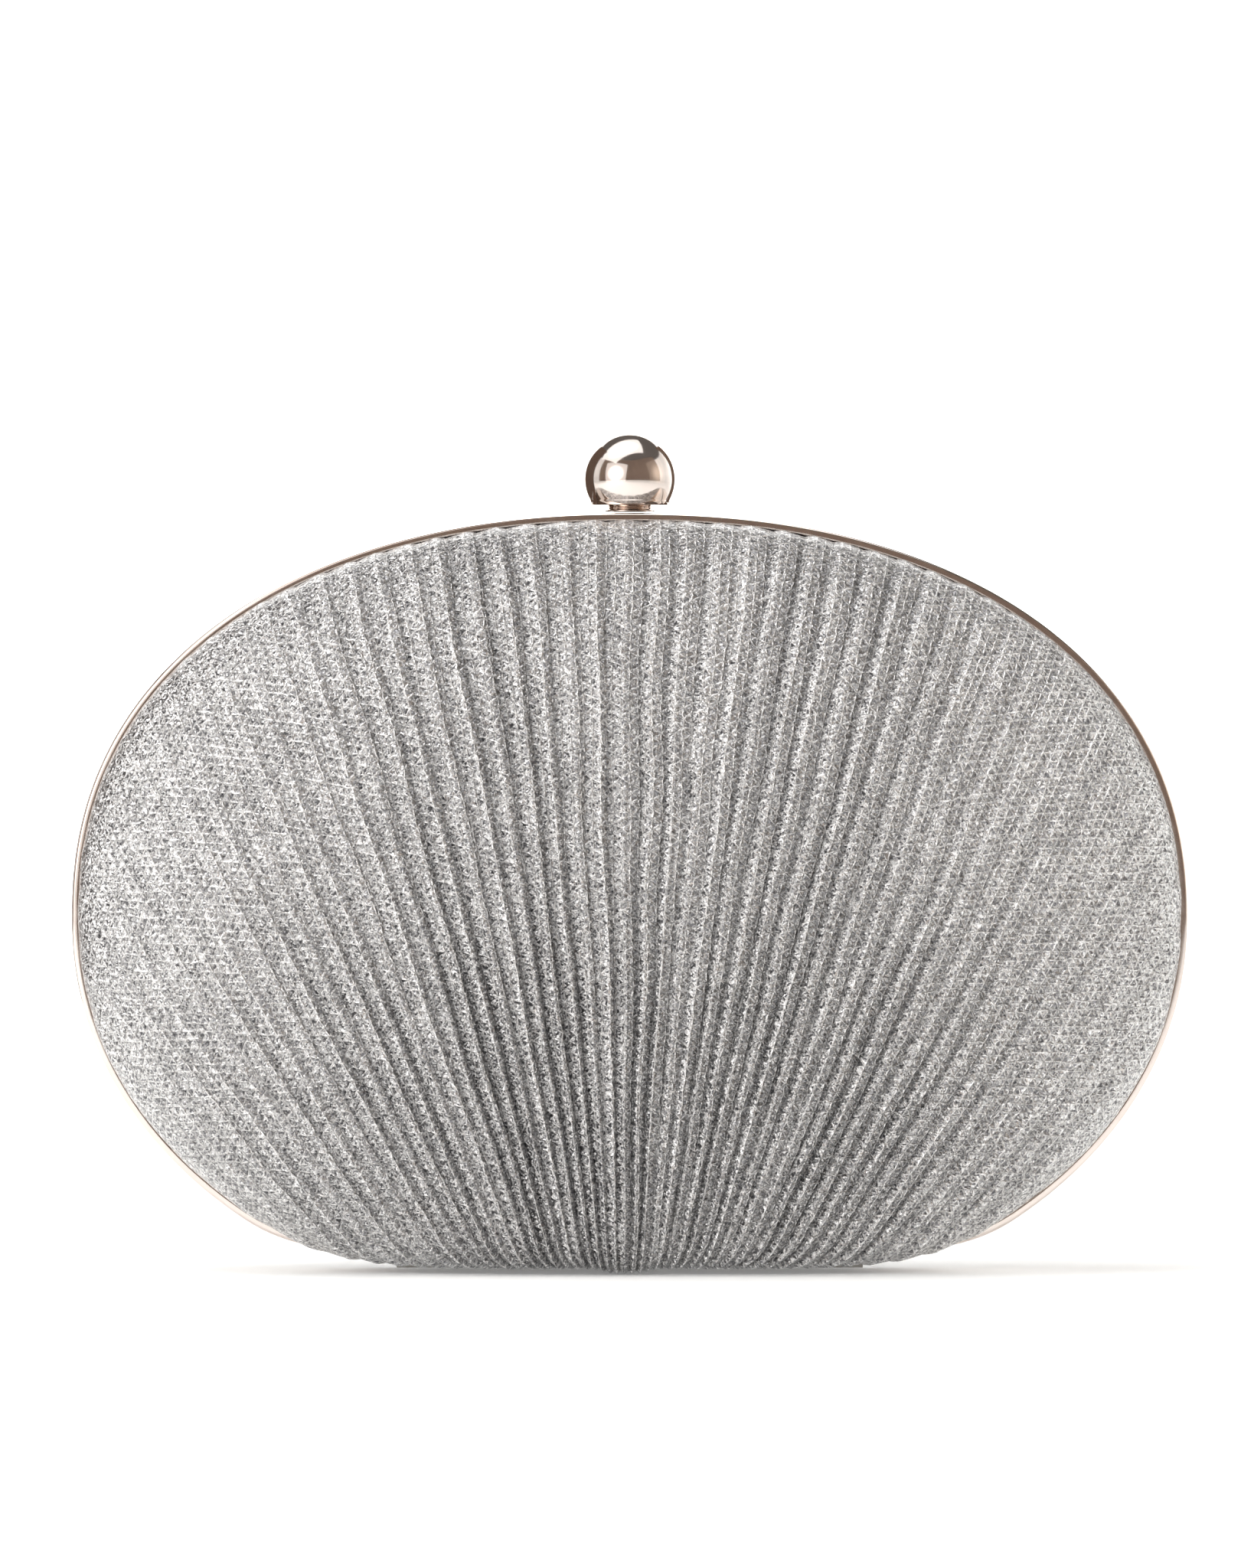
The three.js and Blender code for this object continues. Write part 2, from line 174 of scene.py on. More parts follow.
def dome_face(side, inset, floor, rings=40, around=256):
    """One face of a domed layer, from its middle to its edge: the outline shrinks by sin^(2/p) of an angle
    while the depth follows cos^(2/p), and the base is flattened."""
    angle = np.linspace(0, np.pi / 2, rings)[:, None]
    turn = np.linspace(0, 2 * np.pi, around, endpoint=False)[None, :]
    x, z = rim(turn, inset, np.sin(angle) ** (2 / DOME_POWER))
    depth = HALF_DEPTH - EDGE_Y - (inset - COVER_INSET)
    y = EDGE_Y + depth * np.abs(np.cos(angle)) ** (2 / DOME_POWER)
    return np.stack([x, side * y + 0 * x, flatten(z, floor)], axis=-1)


def smooth_step(low_edge, high_edge, value):
    """0 below the first edge, 1 above the second, and a cubic between."""
    t = np.clip((value - low_edge) / (high_edge - low_edge), 0, 1)
    return t * t * (3 - 2 * t)


LATCH_HALF_WIDTH, LATCH_Z = 11.0, 128.0


def beside_latch(x, z):
    """1 where the shell and the lining are notched for the latch, and 0 away from it."""
    return smooth_step(LATCH_HALF_WIDTH + 2, LATCH_HALF_WIDTH, np.abs(x)) * (z > LATCH_Z)


def shell_grid(side, around=256):
    """Outer dome from its middle, out round the flange, and back along the inner dome to its middle."""
    turn = np.linspace(0, 2 * np.pi, around, endpoint=False)
    rings = []
    for inset, floor, y in ((3.8, 5.7, 4.2), (1.2, 5.0, 4.2), (1.2, 5.0, 1.4), (5.4, 7.3, 1.4)):
        x, z = rim(turn, inset)
        z = flatten(z, floor)
        notch = 4.9 + 0.02 * len(rings)
        rings.append(np.stack([x, side * (y + (notch - y) * beside_latch(x, z)), z], axis=-1))
    outer, inner = dome_face(side, 3.8, 5.7), dome_face(side, 5.4, 7.3)
    return np.concatenate([outer, rings, inner[::-1]])


shell_plastic = moulded_plastic()
for half, side in (("front", -1), ("rear", 1)):
    tray = close_up(skin(f"{half}_moulded_shell", shell_grid(side), around=True))
    tray.data.set_sharp_from_angle(angle=math.radians(40))
    tray.data.materials.append(shell_plastic)
    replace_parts(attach(tray, f"{half}_half"), f"{half}_shell")


# Wadding: 1 mm needled polyester sheet, pressed to the shell's dome and glued at the rim, so that the net
# lies soft. It fills the step between the shell's base and the flat that the bag stands on.

def wadding_fibre():
    """Needled polyester wadding: white, matt and slightly hairy, with tufts about 2 mm apart."""
    material, shader = start_material("polyester_wadding", Roughness=0.95, Sheen_Weight=0.3)
    place = node(material, "ShaderNodeTexCoord").outputs["Object"]
    tuft = node(material, "ShaderNodeTexNoise", {"Vector": place, "Scale": 1 / (2 * MM), "Detail": 4.0})
    tone = node(material, "ShaderNodeValToRGB", {"Fac": tuft.outputs["Fac"]})
    tone.color_ramp.elements[0].color = linear("#d9d5cb")
    tone.color_ramp.elements[1].color = linear("#f2efe8")
    bump = node(material, "ShaderNodeBump", {"Height": tuft.outputs["Fac"], "Distance": 0.3 * MM})
    feed(material, shader, Base_Color=tone.outputs["Color"], Normal=bump.outputs["Normal"])
    return material


wadding = wadding_fibre()
for half, side in (("front", -1), ("rear", 1)):
    outer = dome_face(side, COVER_INSET + 1.9, 1.9)
    inner = dome_face(side, COVER_INSET + 2.3, 5.4)
    pad = close_up(skin(f"{half}_wadding", np.concatenate([outer, inner[::-1]]), around=True))
    pad.data.materials.append(wadding)
    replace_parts(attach(pad, f"{half}_half"), f"{half}_padding")


# Covers: silver metallic net, heat-set in a sunburst of knife pleats that are gathered under the middle of
# the base. Each is stretched over the wadding, folded in at the rim and held between the shell and the
# frame's lip.

GATHER_X = -0.9
RIDGE_AT = 0.3  # share of a pleat's width from its fold to its ridge
RIDGE_POWER = math.log(0.5) / math.log(RIDGE_AT)
CLOTH_PER_PLEAT = 5.6
SAMPLES_PER_PLEAT = 14
ROWS_ALONG = 116
gain_at_foot, gain_at_head = np.random.default_rng(12).uniform(0.7, 1.3, (2, 61))


def pleat_spacing(z):
    """Distance between the middle ridges: it opens out evenly from the gather towards the top."""
    return 1.55 + 0.0315 * z


def pleat_bend(z):
    """How fast the spacing grows away from the middle."""
    return 0.074 - 0.00028 * z


def pleat_x(number, z):
    """Where a pleat's ridge crosses height z: the middle spacing times sinh(bend n) / bend."""
    return GATHER_X + pleat_spacing(z) * np.sinh(pleat_bend(z) * number) / pleat_bend(z)


def pleat_number(x, z):
    """The inverse of pleat_x."""
    return np.arcsinh(pleat_bend(z) * (x - GATHER_X) / pleat_spacing(z)) / pleat_bend(z)


def rim_share(x, z, inset=COVER_INSET):
    """How far out a point lies: 0 at the dome's middle and 1 on its rim."""
    rise = z - WIDEST_Z
    power = np.where(rise > 0, UPPER_POWER, LOWER_POWER)
    height = np.where(rise > 0, RISE, DROP) - inset
    return (np.abs(x / (HALF_WIDTH - inset)) ** power + np.abs(rise / height) ** power) ** (1 / power)


def rim_half_width(z):
    """Half the outline's width at a height in its lower part."""
    drop = (WIDEST_Z - z) / (DROP - COVER_INSET)
    return (HALF_WIDTH - COVER_INSET) * (1 - drop**LOWER_POWER) ** (1 / LOWER_POWER)


rim_heights = np.linspace(5, 60, 551)
WIDEST_PLEAT_Z = rim_heights[np.argmax(pleat_number(rim_half_width(rim_heights), rim_heights))]


def rim_crossing(number, outside):
    """The height where each pleat meets the rim, halving between a height inside the outline and one
    outside."""
    inside = np.full_like(number, WIDEST_PLEAT_Z)
    outside = np.full_like(number, outside)
    for _ in range(40):
        middle = (inside + outside) / 2
        within = rim_share(pleat_x(number, middle), middle) < 1
        inside, outside = np.where(within, middle, inside), np.where(within, outside, middle)
    return inside


def ripple(a, b, lengths, seed):
    """A smooth random field of a and b between about -1 and 1: eight sine waves of seeded direction and
    phase."""
    waves = np.random.default_rng(seed)
    field = np.zeros(np.broadcast(a, b).shape)
    for angle, phase, stretch in waves.uniform([0, 0, 0.6], [np.pi, 2 * np.pi, 1.6], (8, 3)):
        across = a * np.cos(angle) / lengths[0] + b * np.sin(angle) / lengths[1]
        field += np.sin(2 * np.pi * across * stretch + phase) / 3
    return field


def pleat_profile(number):
    """0 in a fold and 1 on a ridge. From the fold on the middle's side the cloth climbs steeply to a narrow
    crest, then falls away slowly: sin of pi t^power, plus a slim bell on the crest."""
    t = np.mod(np.abs(number) + RIDGE_AT, 1)
    return 0.72 * np.sin(np.pi * t**RIDGE_POWER) + 0.28 * np.exp(-(((t - RIDGE_AT) / 0.1) ** 2))


def pleat_gain(number, z):
    """Each pleat's own depth, drawn at random for its foot and its head and blended along it."""
    pleats = np.arange(-30, 31)
    share = np.clip(z / RIM_TOP, 0, 1)
    foot, head = np.interp(number, pleats, gain_at_foot), np.interp(number, pleats, gain_at_head)
    return foot * (1 - share) + head * share


def pleat_depth(x, z, share):
    """Fold depth in mm: up to about 1.1 near the middle, a little less where the pleats crowd, fading out to
    the sides and pressed down under the lip."""
    sides = np.exp(-((np.abs(x) / 80) ** 4))
    squeeze = np.clip(pleat_spacing(z) / 3.2, 0.55, 1)
    crowded = 0.8 * np.exp(-((z / 45) ** 2))
    return ((0.78 + crowded) * sides + 0.1) * squeeze * (1 - 0.5 * smooth_step(0.93, 1.0, share))


def cover_grid(side, seed):
    """The pleated sheet on a grid of pleat number by way along the pleat. Each point's share of the rim gives
    its depth on the dome, and the folds are pressed in along the dome's normal."""
    edge = pleat_number(np.array([-1, 1]) * rim_half_width(WIDEST_PLEAT_Z), WIDEST_PLEAT_Z) * 0.9999
    columns = int((edge[1] - edge[0]) * SAMPLES_PER_PLEAT)
    number = np.linspace(edge[0], edge[1], columns)
    foot = rim_crossing(number, WIDEST_Z - DROP + COVER_INSET)
    head = rim_crossing(number, RIM_TOP - COVER_INSET)
    along = (0.5 - 0.5 * np.cos(np.pi * np.linspace(0, 1, ROWS_ALONG)))[:, None]
    z = foot + (head - foot) * along
    number = np.broadcast_to(number, z.shape)
    x = pleat_x(number, z)
    share = np.minimum(rim_share(x, z), 1)
    share[[0, -1]] = 1
    dome = HALF_DEPTH - EDGE_Y
    y = side * (EDGE_Y + dome * (1 - share**DOME_POWER) ** (1 / DOME_POWER))
    lifted = 0.9 * (1 - np.exp(-(((x - GATHER_X) / 5) ** 4)))
    base = np.stack([x, y, flatten(z, lifted)], axis=-1)
    down, across = np.gradient(base, axis=0), np.gradient(base, axis=1)
    normal = np.cross(down, across)
    normal *= side * np.sign(normal[ROWS_ALONG // 2, columns // 2, 1])
    normal /= np.linalg.norm(normal, axis=-1, keepdims=True) + 1e-12
    bent = number + 0.06 * ripple(number, z, (3.7, 45), seed)
    height = pleat_profile(bent)
    fold = pleat_depth(x, z, share) * pleat_gain(bent, z) * (1 - height)
    puff = 0.22 * (ripple(x, z, (38, 42), seed + 1) - 1) * smooth_step(1.0, 0.9, share)
    loose = 0.06 * (1 + ripple(x, z, (9, 11), seed + 2)) + 0.06 * (1 - height)
    ragged = loose * smooth_step(0.985, 1, share)
    points = base + normal * (puff - fold)[..., None]
    points[..., 0] -= np.sign(x) * np.abs(x / HALF_WIDTH) * ragged
    points[..., 2] -= (z - WIDEST_Z) / RISE * ragged * (z > 12)
    points[..., 2] = np.maximum(points[..., 2], 0.02)
    return points, base, bent, fold


def tucked(points, side):
    """Adds two rows beyond each end of the pleats, folded in behind the rim."""
    rows = []
    for pull, back, lift in ((0.2, 0.15, 0.1), (1.8, 0.2, 0.3)):
        for end in (0, -1):
            row = points[end].copy()
            out = np.stack([row[:, 0] / HALF_WIDTH, (row[:, 2] - WIDEST_Z) / RISE], axis=-1)
            row[:, 0] -= pull * out[:, 0]
            row[:, 2] -= pull * out[:, 1] * (row[:, 2] > 12) - lift
            row[:, 1] = side * (EDGE_Y - back)
            rows.append(row)
    near_foot, near_head, far_foot, far_head = rows
    return np.concatenate([[far_foot, near_foot], points, [near_head, far_head]])


def cloth_lengths(base, bent):
    """Cloth coordinates in mm. Along a pleat it is the length walked, shifted from pleat to pleat so that the
    weave stays square to them; across, each pleat starts afresh at its fold, where the jump is hidden."""
    steps = np.linalg.norm(np.diff(base, axis=0), axis=-1)
    walked = np.concatenate([np.zeros((1, base.shape[1])), np.cumsum(steps, axis=0)])
    middle = ROWS_ALONG // 2
    heading = base[middle + 1] - base[middle - 1]
    heading /= np.linalg.norm(heading, axis=-1, keepdims=True) + 1e-12
    slip = np.sum(np.diff(base[middle], axis=0) * heading[:-1], axis=-1) - np.diff(walked[middle])
    walked = walked + np.concatenate([[0], np.cumsum(slip)])
    width = np.linalg.norm(np.gradient(base, axis=1), axis=-1) / np.abs(np.gradient(bent, axis=1)).clip(0.02)
    return walked, width


def write_cloth(piece, walked, width, bent, fold):
    """Stores the cloth coordinates at each face's corners, and the fold depth at each point, from which the
    net's colour takes its painted fold shade and painted crest highlight.
    """
    pad_rows = ((2, 2), (0, 0))
    walked, width, bent, fold = (np.pad(a, pad_rows, mode="edge") for a in (walked, width, bent, fold))
    rows, columns = bent.shape
    r, c = np.arange(rows - 1)[:, None], np.arange(columns - 1)[None, :]
    corners = [((r + i), (c + j)) for i, j in ((0, 0), (0, 1), (1, 1), (1, 0))]
    middle = sum(bent[place] for place in corners) / 4
    pleat = np.sign(middle) * np.floor(np.abs(middle) + RIDGE_AT)
    span = np.clip(sum(width[place] for place in corners) / 4, 0.5, 8)
    across = [pleat * CLOTH_PER_PLEAT + (bent[place] - pleat) * span for place in corners]
    lengths = [walked[place] + 0 * middle for place in corners]
    weave = np.stack([np.stack(across, axis=-1), np.stack(lengths, axis=-1)], axis=-1)
    piece.data.uv_layers.new(name="weave").data.foreach_set("uv", weave.astype(np.float32).ravel())
    depth = piece.data.attributes.new("fold_depth", "FLOAT", "POINT")
    depth.data.foreach_set("value", fold.astype(np.float32).ravel())


YARN_PITCH = 1.9
FLAKE_WIDTH = 0.34


def metallic_net():
    """Net of metallised yarn knitted over a glitter ground: yarn in triangles 1.9 mm apart on a field of
    silver flakes, each tilted its own way so that a few glint and others stay dark, and each painted at
    random from dark grey to white, so that painted glints and painted dark flakes add to the real ones. The
    fold depth paints shade into the folds and a highlight onto the crests. The flakes are drawn 0.34
    mm wide, coarser than real ones, so that they show."""
    material, shader = start_material("metallised_yarn_net_on_glitter", Metallic=0.9, Roughness=0.3)
    sum_node, aim, between = "ShaderNodeMath", "ShaderNodeVectorMath", "ShaderNodeMapRange"
    weave = node(material, "ShaderNodeUVMap", uv_map="weave")
    place = node(material, "ShaderNodeTexCoord").outputs["Object"]
    drift = node(material, "ShaderNodeTexNoise", {"Vector": place, "Scale": 1 / (2.2 * MM), "Detail": 1.0})
    wander = {0: drift.outputs["Color"], 1: (0.8, 0.8, 0.0), 2: weave}
    pulled = node(material, aim, wander, operation="MULTIPLY_ADD")
    cloth = node(material, "ShaderNodeSeparateXYZ", {"Vector": pulled})
    column_width = YARN_PITCH * math.sqrt(3) / 2
    column = node(material, sum_node, {0: cloth.outputs["X"], 1: column_width}, operation="DIVIDE")
    row = node(material, sum_node, {0: cloth.outputs["Y"], 1: YARN_PITCH}, operation="DIVIDE")
    half_column = node(material, sum_node, {0: column, 1: 0.5}, operation="MULTIPLY")
    falling = node(material, sum_node, {0: row, 1: half_column}, operation="SUBTRACT")
    rising = node(material, sum_node, {0: row, 1: half_column}, operation="ADD")
    a, b, c = (node(material, sum_node, {0: way}, operation="FRACT") for way in (falling, rising, column))
    ways = ({0: 1.0, 1: way} for way in (a, b, c))
    from_a, from_b, from_c = (node(material, sum_node, way, operation="SUBTRACT") for way in ways)
    nearest = []
    for first, second, third in ((a, c, from_b), (from_a, from_c, b)):
        nearer = node(material, sum_node, {0: first, 1: second}, operation="MINIMUM")
        nearest.append(node(material, sum_node, {0: nearer, 1: third}, operation="MINIMUM"))
    is_shut = node(material, sum_node, {0: b, 1: a}, operation="LESS_THAN")
    inside = node(material, "ShaderNodeMix", {"Factor": is_shut, "A": nearest[0], "B": nearest[1]})
    flakes = node(material, "ShaderNodeTexVoronoi", {"Vector": place, "Scale": 1 / (FLAKE_WIDTH * MM)})
    facet = node(material, "ShaderNodeSeparateColor", {"Color": flakes.outputs["Color"]})
    tufts = node(material, "ShaderNodeTexNoise", {"Vector": place, "Scale": 1 / (0.7 * MM), "Detail": 3.0})
    patches = node(material, "ShaderNodeTexNoise", {"Vector": place, "Scale": 1 / (9 * MM), "Detail": 2.0})
    depth = node(material, "ShaderNodeAttribute", attribute_name="fold_depth").outputs["Fac"]
    shares = []
    for source, *ends in (
        (inside, 0.02, 0.15, 1.0, 0.0),
        (tufts, 0.35, 0.6, 0.3, 0.8),
        # Painted highlight and painted shade: the fold depth lifts the colour up to 1.25 on the crests and
        # darkens it down to 0.34 in the folds.
        (depth, 0.0, 0.3, 1.25, 1.0),
        (depth, 0.3, 1.25, 1.0, 0.34),
        (tufts, 0.35, 0.65, 0.82, 1.15),
        (patches, 0.3, 0.7, 0.94, 1.05),
    ):
        edges = dict(zip(("From Min", "From Max", "To Min", "To Max"), ends))
        shares.append(node(material, between, {"Value": source} | edges, interpolation_type="SMOOTHSTEP"))
    yarn, hairy, crest, fold, tuft_shade, uneven = shares
    # Each flake's colour is drawn at random from dark grey to white: painted glints and painted dark flakes,
    # on top of the glints that the tilted flakes really catch.
    ground = node(material, "ShaderNodeValToRGB", {"Fac": facet})
    ground.color_ramp.elements[0].color = linear("#717174")
    ground.color_ramp.elements[1].color = linear("#ffffff")
    ground.color_ramp.elements.new(0.4).color = linear("#a3a2a3")
    ground.color_ramp.elements.new(0.8).color = linear("#dcdbda")
    strength = node(material, sum_node, {0: yarn, 1: hairy}, operation="MULTIPLY")
    layers = {"Factor": strength, "A": ground.outputs["Color"], "B": linear("#e9e7e5")}
    cloth_tone = node(material, "ShaderNodeMix", layers, data_type="RGBA").outputs[2]
    shade = node(material, sum_node, {0: is_shut, 1: 0.28, 2: 0.82}, operation="MULTIPLY_ADD")
    # The tone is scaled by the closed cells, the painted crest highlight, the painted fold shade, the random
    # tufts and the patches.
    for part in (crest, fold, tuft_shade, uneven):
        shade = node(material, sum_node, {0: shade, 1: part}, operation="MULTIPLY")
    tone = node(material, aim, {0: cloth_tone, "Scale": shade}, operation="SCALE")
    spread = node(material, aim, {0: flakes.outputs["Color"], 1: (0.5, 0.5, 0.5)}, operation="SUBTRACT")
    tilt = node(material, aim, {0: spread, "Scale": 1.25}, operation="SCALE")
    normal = node(material, "ShaderNodeNewGeometry").outputs["Normal"]
    tilted = node(material, aim, {0: normal, 1: tilt}, operation="ADD")
    facing = node(material, aim, {0: tilted}, operation="NORMALIZE")
    raised = node(material, sum_node, {0: strength, 1: 0.8}, operation="MULTIPLY")
    relief = node(material, sum_node, {0: raised, 1: tufts}, operation="ADD")
    bump = node(material, "ShaderNodeBump", {"Height": relief, "Distance": 0.25 * MM, "Normal": facing})
    feed(material, shader, Base_Color=tone.outputs[0], Normal=bump.outputs["Normal"])
    return material


silver_net = metallic_net()
for half, side, seed in (("front", -1, 40), ("rear", 1, 70)):
    points, base, bent, fold = cover_grid(side, seed)
    cover = skin(f"{half}_pleated_cover", tucked(points, side))
    write_cloth(cover, *cloth_lengths(base, bent), bent, fold)
    close_up(cover)
    cover.data.materials.append(silver_net)
    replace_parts(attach(cover, f"{half}_half"), f"{half}_cover")


# Linings: thin satin sheets, cut a little large, glued to the shells' inside and turned in at the mouth.
# The cloth solver buckles the spare cloth, and a cap on the move flattens most of it again, so that the
# sheet stays off the shell.

LINING_INSET, LINING_FLOOR = 6.0, 7.9
MOUTH_Y = 0.9
LATCH_Y = 5.4
TURNED_OVER = 3.1
SPARE_CLOTH = 0.05
MOST_OUTWARDS, MOST_INWARDS = 0.15, 1.5


def mouth_y(x, z):
    """How far the lining's edge stands from the bag's middle plane: close to it, but set back round the
    latch."""
    return MOUTH_Y + (LATCH_Y - MOUTH_Y) * beside_latch(x, z)


def lining_grid(side, rings=44, walls=8, around=168):
    """The domed face, from its middle to its edge, the straight wall down to the mouth, and the strip that is
    turned outwards over the shell's edge, except round the latch."""
    face = dome_face(side, LINING_INSET, LINING_FLOOR, rings, around)
    brink = face[-1]
    share = np.linspace(0, 1, walls + 1)[1:, None]
    depth = side * brink[:, 1] * (1 - share) + mouth_y(brink[:, 0], brink[:, 2]) * share
    wall = np.broadcast_to(brink, (walls, *brink.shape)).copy()
    wall[..., 1] = side * depth
    turn = np.linspace(0, 2 * np.pi, around, endpoint=False)[None, :]
    spread = (LINING_INSET - TURNED_OVER) * (1 - beside_latch(brink[:, 0], brink[:, 2]))
    inset = LINING_INSET - np.array([[0.35], [0.7], [1.0]]) * spread
    x, z = rim(turn, inset)
    z = flatten(z, LINING_FLOOR - 0.3 * (LINING_INSET - inset))
    edge = np.stack([x, wall[-1, :, 1] + 0 * x, z], axis=-1)
    return np.concatenate([face, wall, edge])


def satin_weave():
    """Viscose satin, piece dyed: long floats give a soft silky gloss along them. Threads are drawn 0.4 mm
    apart, coarser than real ones, so that they show."""
    material, shader = start_material("viscose_satin", Roughness=0.38, Sheen_Weight=0.25, Anisotropic=0.5)
    place = node(material, "ShaderNodeTexCoord").outputs["Object"]
    turns = 1 / (0.4 * MM) / 20
    across = {"Vector": place, "Scale": turns, "Distortion": 0.6, "Detail": 1.0}
    floats = node(material, "ShaderNodeTexWave", across, bands_direction="X")
    stretched = node(material, "ShaderNodeMapping", {"Vector": place, "Scale": (1.0, 1.0, 0.12)})
    slub = node(material, "ShaderNodeTexNoise", {"Vector": stretched, "Scale": 1 / (1.2 * MM), "Detail": 2.0})
    weave = node(
        material, "ShaderNodeMix", {"Factor": 0.8, "A": floats.outputs["Fac"], "B": slub.outputs["Fac"]}
    ).outputs[0]
    tone = node(material, "ShaderNodeValToRGB", {"Fac": weave})
    tone.color_ramp.elements[0].color = linear("#aaa6a2")
    tone.color_ramp.elements[1].color = linear("#c4c0bc")
    bump = node(material, "ShaderNodeBump", {"Height": weave, "Distance": 0.04 * MM})
    feed(material, shader, Base_Color=tone.outputs["Color"], Normal=bump.outputs["Normal"])
    return material


def settle(piece, glued, spare, frames=16):
    """Lets a sheet that is cut larger by the spare share buckle between its glued points, with no weight on
    it. Returns its points in mm."""
    held = piece.vertex_groups.new(name="glued")
    held.add(glued.tolist(), 1.0, "REPLACE")
    cloth = piece.modifiers.new("satin", "CLOTH")
    rules = cloth.settings
    rules.quality = 4
    rules.mass = 0.03
    rules.tension_stiffness = rules.compression_stiffness = 12
    rules.shear_stiffness = 4
    rules.bending_stiffness = 0.03
    rules.vertex_group_mass = "glued"
    rules.shrink_min = -spare
    rules.effector_weights.gravity = 0
    cloth.collision_settings.use_collision = False
    for moment in range(1, frames + 1):
        bpy.context.scene.frame_set(moment)
    settled = piece.evaluated_get(bpy.context.evaluated_depsgraph_get()).to_mesh()
    points = np.empty(len(settled.vertices) * 3)
    settled.vertices.foreach_get("co", points)
    bpy.context.scene.frame_set(1)
    piece.modifiers.remove(cloth)
    piece.vertex_groups.remove(held)
    return points.reshape(-1, 3) / MM


def points_of(piece):
    """A mesh's points in mm."""
    points = np.empty(len(piece.data.vertices) * 3)
    piece.data.vertices.foreach_get("co", points)
    return points.reshape(-1, 3) / MM


def capped(start, moved, inward, out_cap, in_cap):
    """Each point's move, limited along the inward direction to between -out_cap and in_cap mm."""
    along = np.sum((moved - start) * inward, axis=-1, keepdims=True)
    return start + inward * np.clip(along, -out_cap, in_cap)


def tube(name, path, radius, sides=10, loop=False):
    """A round section carried along a path that lies close to an upright plane: its ring is spanned by the
    path's normal in that plane and by the plane's own normal."""
    if loop:
        heading = np.roll(path, -1, axis=0) - np.roll(path, 1, axis=0)
    else:
        heading = np.gradient(path, axis=0)
    heading /= np.linalg.norm(heading, axis=-1, keepdims=True)
    aside = np.cross(heading, [0.0, 1.0, 0.0])
    aside /= np.linalg.norm(aside, axis=-1, keepdims=True)
    over = np.cross(aside, heading)
    turn = np.linspace(0, 2 * np.pi, sides, endpoint=False)[None, :, None]
    radius = np.broadcast_to(radius, len(path))[:, None, None]
    rings = path[:, None] + radius * (np.cos(turn) * aside[:, None] + np.sin(turn) * over[:, None])
    return close_up(skin(name, rings, around=True, along=loop))


satin = satin_weave()
for half, side in (("front", -1), ("rear", 1)):
    lining = close_up(skin(f"{half}_satin_lining", lining_grid(side), around=True))
    start = points_of(lining)
    centre = np.array([0, 0, WIDEST_Z])
    inward = (centre - start) * [0.35, 1, 0.5]
    inward /= np.linalg.norm(inward, axis=-1, keepdims=True)
    edge = np.abs(start[:, 1]) < mouth_y(start[:, 0], start[:, 2]) + 0.05
    middle_point = np.abs(start[:, 1]).argmax()
    glued = np.flatnonzero(edge)
    moved = settle(lining, np.append(glued, middle_point), SPARE_CLOTH)
    puckered = capped(start, moved, inward, MOST_OUTWARDS, MOST_INWARDS)
    lining.data.vertices.foreach_set("co", (puckered * MM).ravel())
    lining.data.update()
    lining.data.flip_normals()
    lining.data.materials.append(satin)
    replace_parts(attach(lining, f"{half}_half"), f"{half}_lining")
    turn = np.linspace(0, 2 * np.pi, 320, endpoint=False)
    x, z = rim(turn, LINING_INSET)
    x, z = rim(turn, TURNED_OVER + 0.1 + (LINING_INSET - TURNED_OVER) * beside_latch(x, z))
    z = flatten(z, LINING_FLOOR - 0.3 * (LINING_INSET - TURNED_OVER))
    bead = np.stack([x, side * mouth_y(x, z), z], axis=-1)
    piping = tube(f"{half}_lining_piping", bead, 0.4, loop=True)
    piping.data.materials.append(satin)
    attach(piping, f"{half}_half")
    tray = [f"{half}_shell"]


# Slip pocket: a flat satin panel caught into the rear lining at its sides and base. Its mouth has a turned
# hem, held by a row of running stitches.

pocket_low, pocket_high = (np.array(corner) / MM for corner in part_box("slip_pocket"))
POCKET_HALF_WIDTH = pocket_high[0]
POCKET_Y = (pocket_low[1] + pocket_high[1]) / 2
POCKET_TOP = pocket_high[2] - 0.4
HEM_DEPTH = 7.0
STITCH_PITCH = 3.0


def pocket_half_width(z):
    """Half the panel's width at a height: a superellipse about the widest height."""
    rise = z - WIDEST_Z
    power = np.where(rise > 0, UPPER_POWER, LOWER_POWER)
    height = np.where(rise > 0, RISE, DROP) * POCKET_HALF_WIDTH / HALF_WIDTH
    return POCKET_HALF_WIDTH * (1 - np.abs(rise / height) ** power) ** (1 / power) - 0.3


def pocket_y(u, z):
    """The panel gapes a little at its mouth, between its sides, and ripples softly lower down."""
    gape = 0.55 * (z / POCKET_TOP) ** 5 * np.cos(np.pi * u / 2)
    return POCKET_Y - gape - 0.12 * ripple(u * POCKET_HALF_WIDTH, z, (30, 40), 5) * np.cos(np.pi * u / 2)


def pocket_strip(name, low_z, high_z, rows, thickness, forward):
    """The panel between two heights, as a closed sheet of some thickness."""
    z = np.linspace(low_z, high_z, rows)[:, None]
    u = np.linspace(-1, 1, 97)[None, :]
    flat = np.stack([u * pocket_half_width(z), pocket_y(u, z) - forward, z + 0 * u], axis=-1)
    strip = skin(name, flat)
    close_up(strip)
    wall = strip.modifiers.new("cloth_thickness", "SOLIDIFY")
    wall.thickness = thickness * MM
    wall.offset = 0
    strip.data.materials.append(satin)
    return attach(strip, "rear_half")


